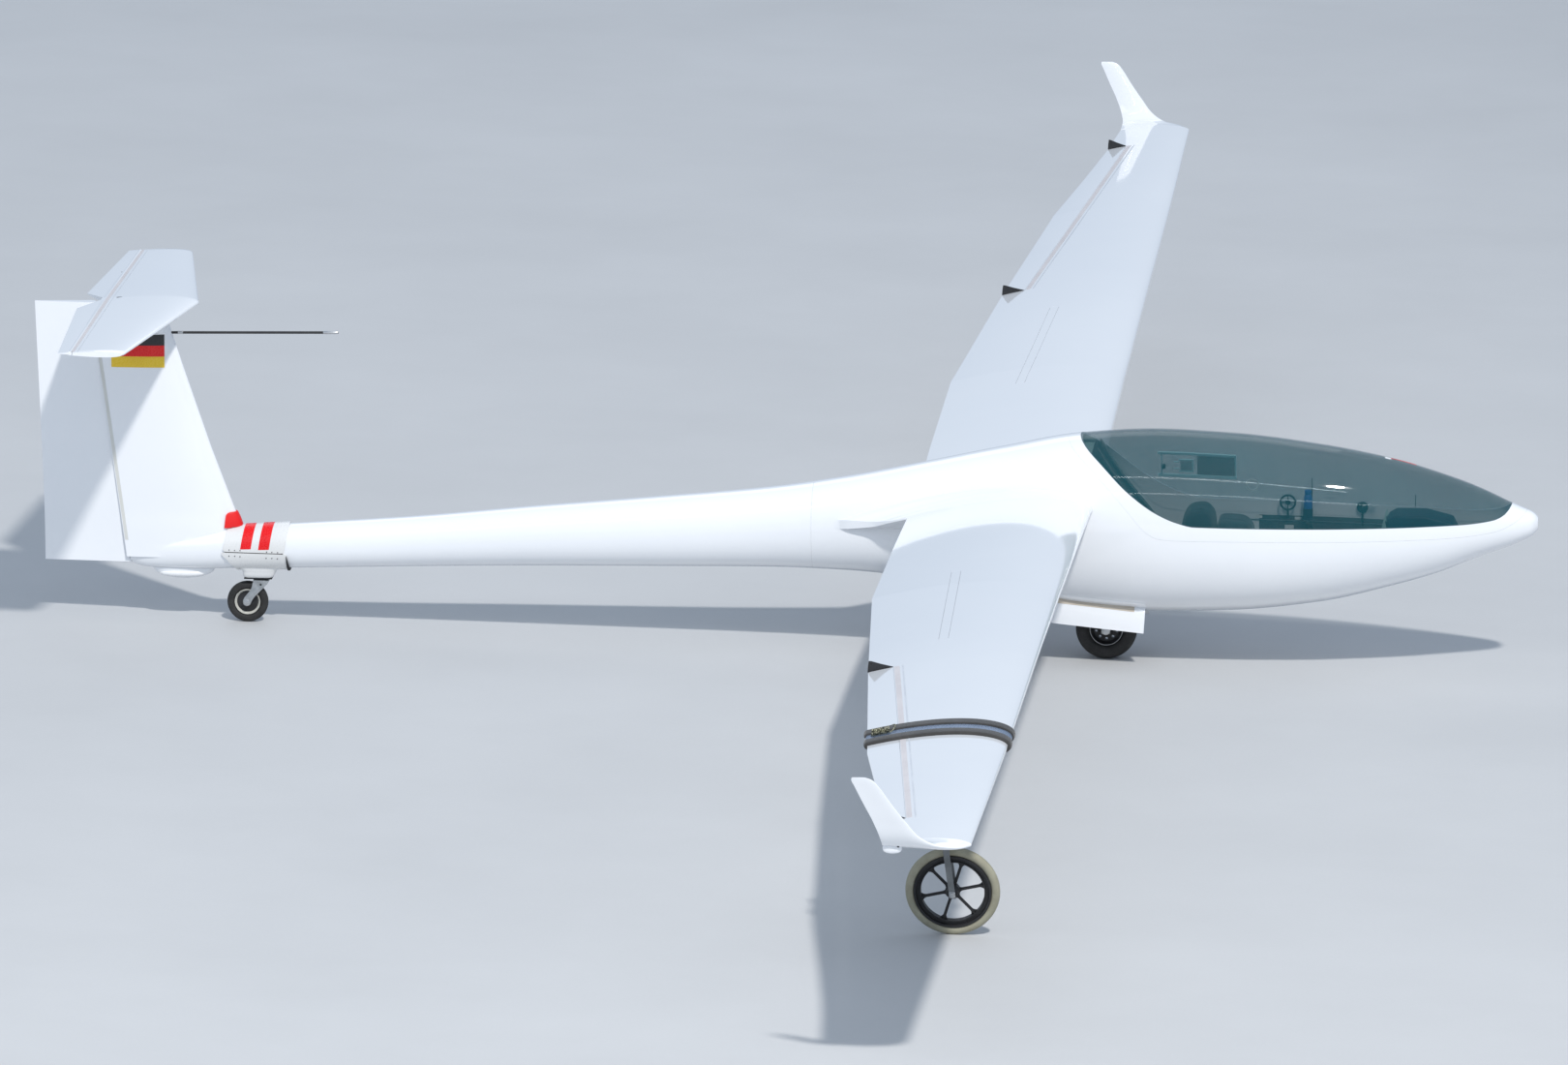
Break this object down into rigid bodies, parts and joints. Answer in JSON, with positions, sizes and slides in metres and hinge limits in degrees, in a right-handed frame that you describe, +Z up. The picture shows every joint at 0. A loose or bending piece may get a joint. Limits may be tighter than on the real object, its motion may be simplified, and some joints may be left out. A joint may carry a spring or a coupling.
{
  "type": "sailplane glider on tail dolly and wing wheel",
  "caption": "Single-seat T-tail sailplane with winglets, parked on its main wheel, a clamp-on tail dolly and a strap-on wing wheel; canopy, controls, airbrakes and wheels move.",
  "frame": {"origin": "ground level, centre of the bounding box's underside, under the fuselage's centre line", "axes": "+X towards the nose, +Y towards the left wing tip, +Z up"},
  "size_m": [6.773, 14.9938, 1.4838],
  "materials": {
    "gelcoat": "polished white gelcoat",
    "pane": "blue-green tinted acrylic",
    "black_plastic": "matt black",
    "grey_trim": "matt grey",
    "seat_cloth": "woven grey cloth",
    "navy_panel": "dark blue crackle",
    "aqua_panel": "pale aqua",
    "steel": "galvanised",
    "tyre_black": "worn black rubber",
    "tyre_cream": "dusty cream rubber",
    "rim_plastic": "black moulded",
    "rim_cream": "pale moulded",
    "padding": "dark padded webbing",
    "red_pad": "red padded cloth",
    "alloy": "plain sheet"
  },
  "bodies": {
    "airframe": {"fuselage_pod": "gelcoat", "tail_boom_and_fin": "gelcoat", "seat_pan": "grey_trim", "seat_backrest": "black_plastic", "seat_cushion": "seat_cloth", "seat_pack": "padding", "cockpit_floor": "grey_trim", "rear_deck": "aqua_panel", "instrument_pod": "navy_panel", "control_stick": "black_plastic", "wing_left": "gelcoat", "wing_right": "gelcoat", "winglet_left": "gelcoat", "winglet_right": "gelcoat", "aileron_plate_inner_left": "black_plastic", "aileron_plate_inner_right": "black_plastic", "aileron_plate_outer_left": "black_plastic", "aileron_plate_outer_right": "black_plastic", "gear_leg_left": "steel", "gear_leg_right": "steel", "gear_door_left": "gelcoat", "gear_door_right": "gelcoat", "tailplane": "gelcoat", "tail_skid_fairing": "gelcoat", "energy_probe": "black_plastic", "main_axle": "steel", "dolly_shell_upper": "gelcoat", "dolly_shell_lower": "gelcoat", "dolly_foam_lip": "padding", "dolly_fin_cap": "red_pad", "dolly_swivel_plate": "rim_plastic", "wing_cuff": "padding", "wing_wheel_saddle": "black_plastic", "wing_wheel_fork": "steel", "wing_wheel_axle": "steel"},
    "canopy": {"canopy_frame": "gelcoat", "canopy_pane": "pane"},
    "aileron_left": {"aileron_left": "gelcoat"},
    "aileron_right": {"aileron_right": "gelcoat", "wing_strap_rear": "padding"},
    "elevator": {"elevator": "gelcoat"},
    "rudder": {"rudder": "gelcoat"},
    "airbrake_upper_left": {"airbrake_upper_left": "gelcoat"},
    "airbrake_upper_right": {"airbrake_upper_right": "gelcoat"},
    "airbrake_lower_left": {"airbrake_lower_left": "alloy"},
    "airbrake_lower_right": {"airbrake_lower_right": "alloy"},
    "main_wheel": {"main_tyre": "tyre_black", "main_rim": "rim_plastic"},
    "dolly_castor": {"dolly_fork": "steel", "dolly_axle": "steel"},
    "dolly_wheel": {"dolly_tyre": "tyre_black", "dolly_rim": "rim_cream"},
    "wing_wheel": {"wing_wheel_tyre": "tyre_cream", "wing_wheel_rim": "rim_plastic"}
  },
  "joints": [
    {"name": "canopy_tilt", "type": "hinge", "parent": "airframe", "child": "canopy", "pos_m": [3.35469, 0, 0.75341], "axis": [0, 1, 0], "range_deg": [0, 65]},
    {"name": "aileron_left_hinge", "type": "hinge", "parent": "airframe", "child": "aileron_left", "pos_m": [0.81085, 3.87, 0.85076], "axis": [0.0958, 0.9946, 0.0398], "range_deg": [-18, 18]},
    {"name": "aileron_right_hinge", "type": "hinge", "parent": "airframe", "child": "aileron_right", "pos_m": [0.81085, -3.87, 0.85076], "axis": [-0.0958, 0.9946, -0.0398], "range_deg": [-18, 18]},
    {"name": "elevator_hinge", "type": "hinge", "parent": "airframe", "child": "elevator", "pos_m": [-3.06519, 0, 1.44593], "axis": [0, 1, 0], "range_deg": [-20, 25]},
    {"name": "rudder_hinge", "type": "hinge", "parent": "airframe", "child": "rudder", "pos_m": [-2.94869, 0, 0.25852], "axis": [-0.1556, 0, 0.9878], "range_deg": [-30, 30]},
    {"name": "airbrake_upper_left_slide", "type": "slide", "parent": "airframe", "child": "airbrake_upper_left", "axis": [-0.0257, 0, 0.9997], "range_m": [0, 0.104]},
    {"name": "airbrake_upper_right_slide", "type": "slide", "parent": "airframe", "child": "airbrake_upper_right", "axis": [-0.0257, 0, 0.9997], "range_m": [0, 0.104]},
    {"name": "airbrake_lower_left_slide", "type": "slide", "parent": "airframe", "child": "airbrake_lower_left", "axis": [-0.0257, 0, 0.9997], "range_m": [0, 0.052]},
    {"name": "airbrake_lower_right_slide", "type": "slide", "parent": "airframe", "child": "airbrake_lower_right", "axis": [-0.0257, 0, 0.9997], "range_m": [0, 0.052]},
    {"name": "main_wheel_spin", "type": "hinge", "parent": "airframe", "child": "main_wheel", "pos_m": [1.47386, 0, 0.13795], "axis": [0, 1, 0], "continuous": true},
    {"name": "dolly_swivel", "type": "hinge", "parent": "airframe", "child": "dolly_castor", "pos_m": [-2.33904, 0, 0.19], "axis": [0, 0, 1], "continuous": true},
    {"name": "dolly_wheel_spin", "type": "hinge", "parent": "dolly_castor", "child": "dolly_wheel", "pos_m": [-2.40504, 0, 0.093], "axis": [0, 1, 0], "continuous": true},
    {"name": "wing_wheel_spin", "type": "hinge", "parent": "airframe", "child": "wing_wheel", "pos_m": [1.16336, -5, 0.19239], "axis": [-0.0046, 0.9838, 0.179], "continuous": true}
  ],
  "couplings": [
    {"joint": "aileron_right_hinge", "follows": "aileron_left_hinge", "ratio": -1},
    {"joint": "airbrake_upper_right_slide", "follows": "airbrake_upper_left_slide", "ratio": 1},
    {"joint": "airbrake_lower_left_slide", "follows": "airbrake_upper_left_slide", "ratio": 0.5},
    {"joint": "airbrake_lower_right_slide", "follows": "airbrake_upper_left_slide", "ratio": 0.5}
  ]
}
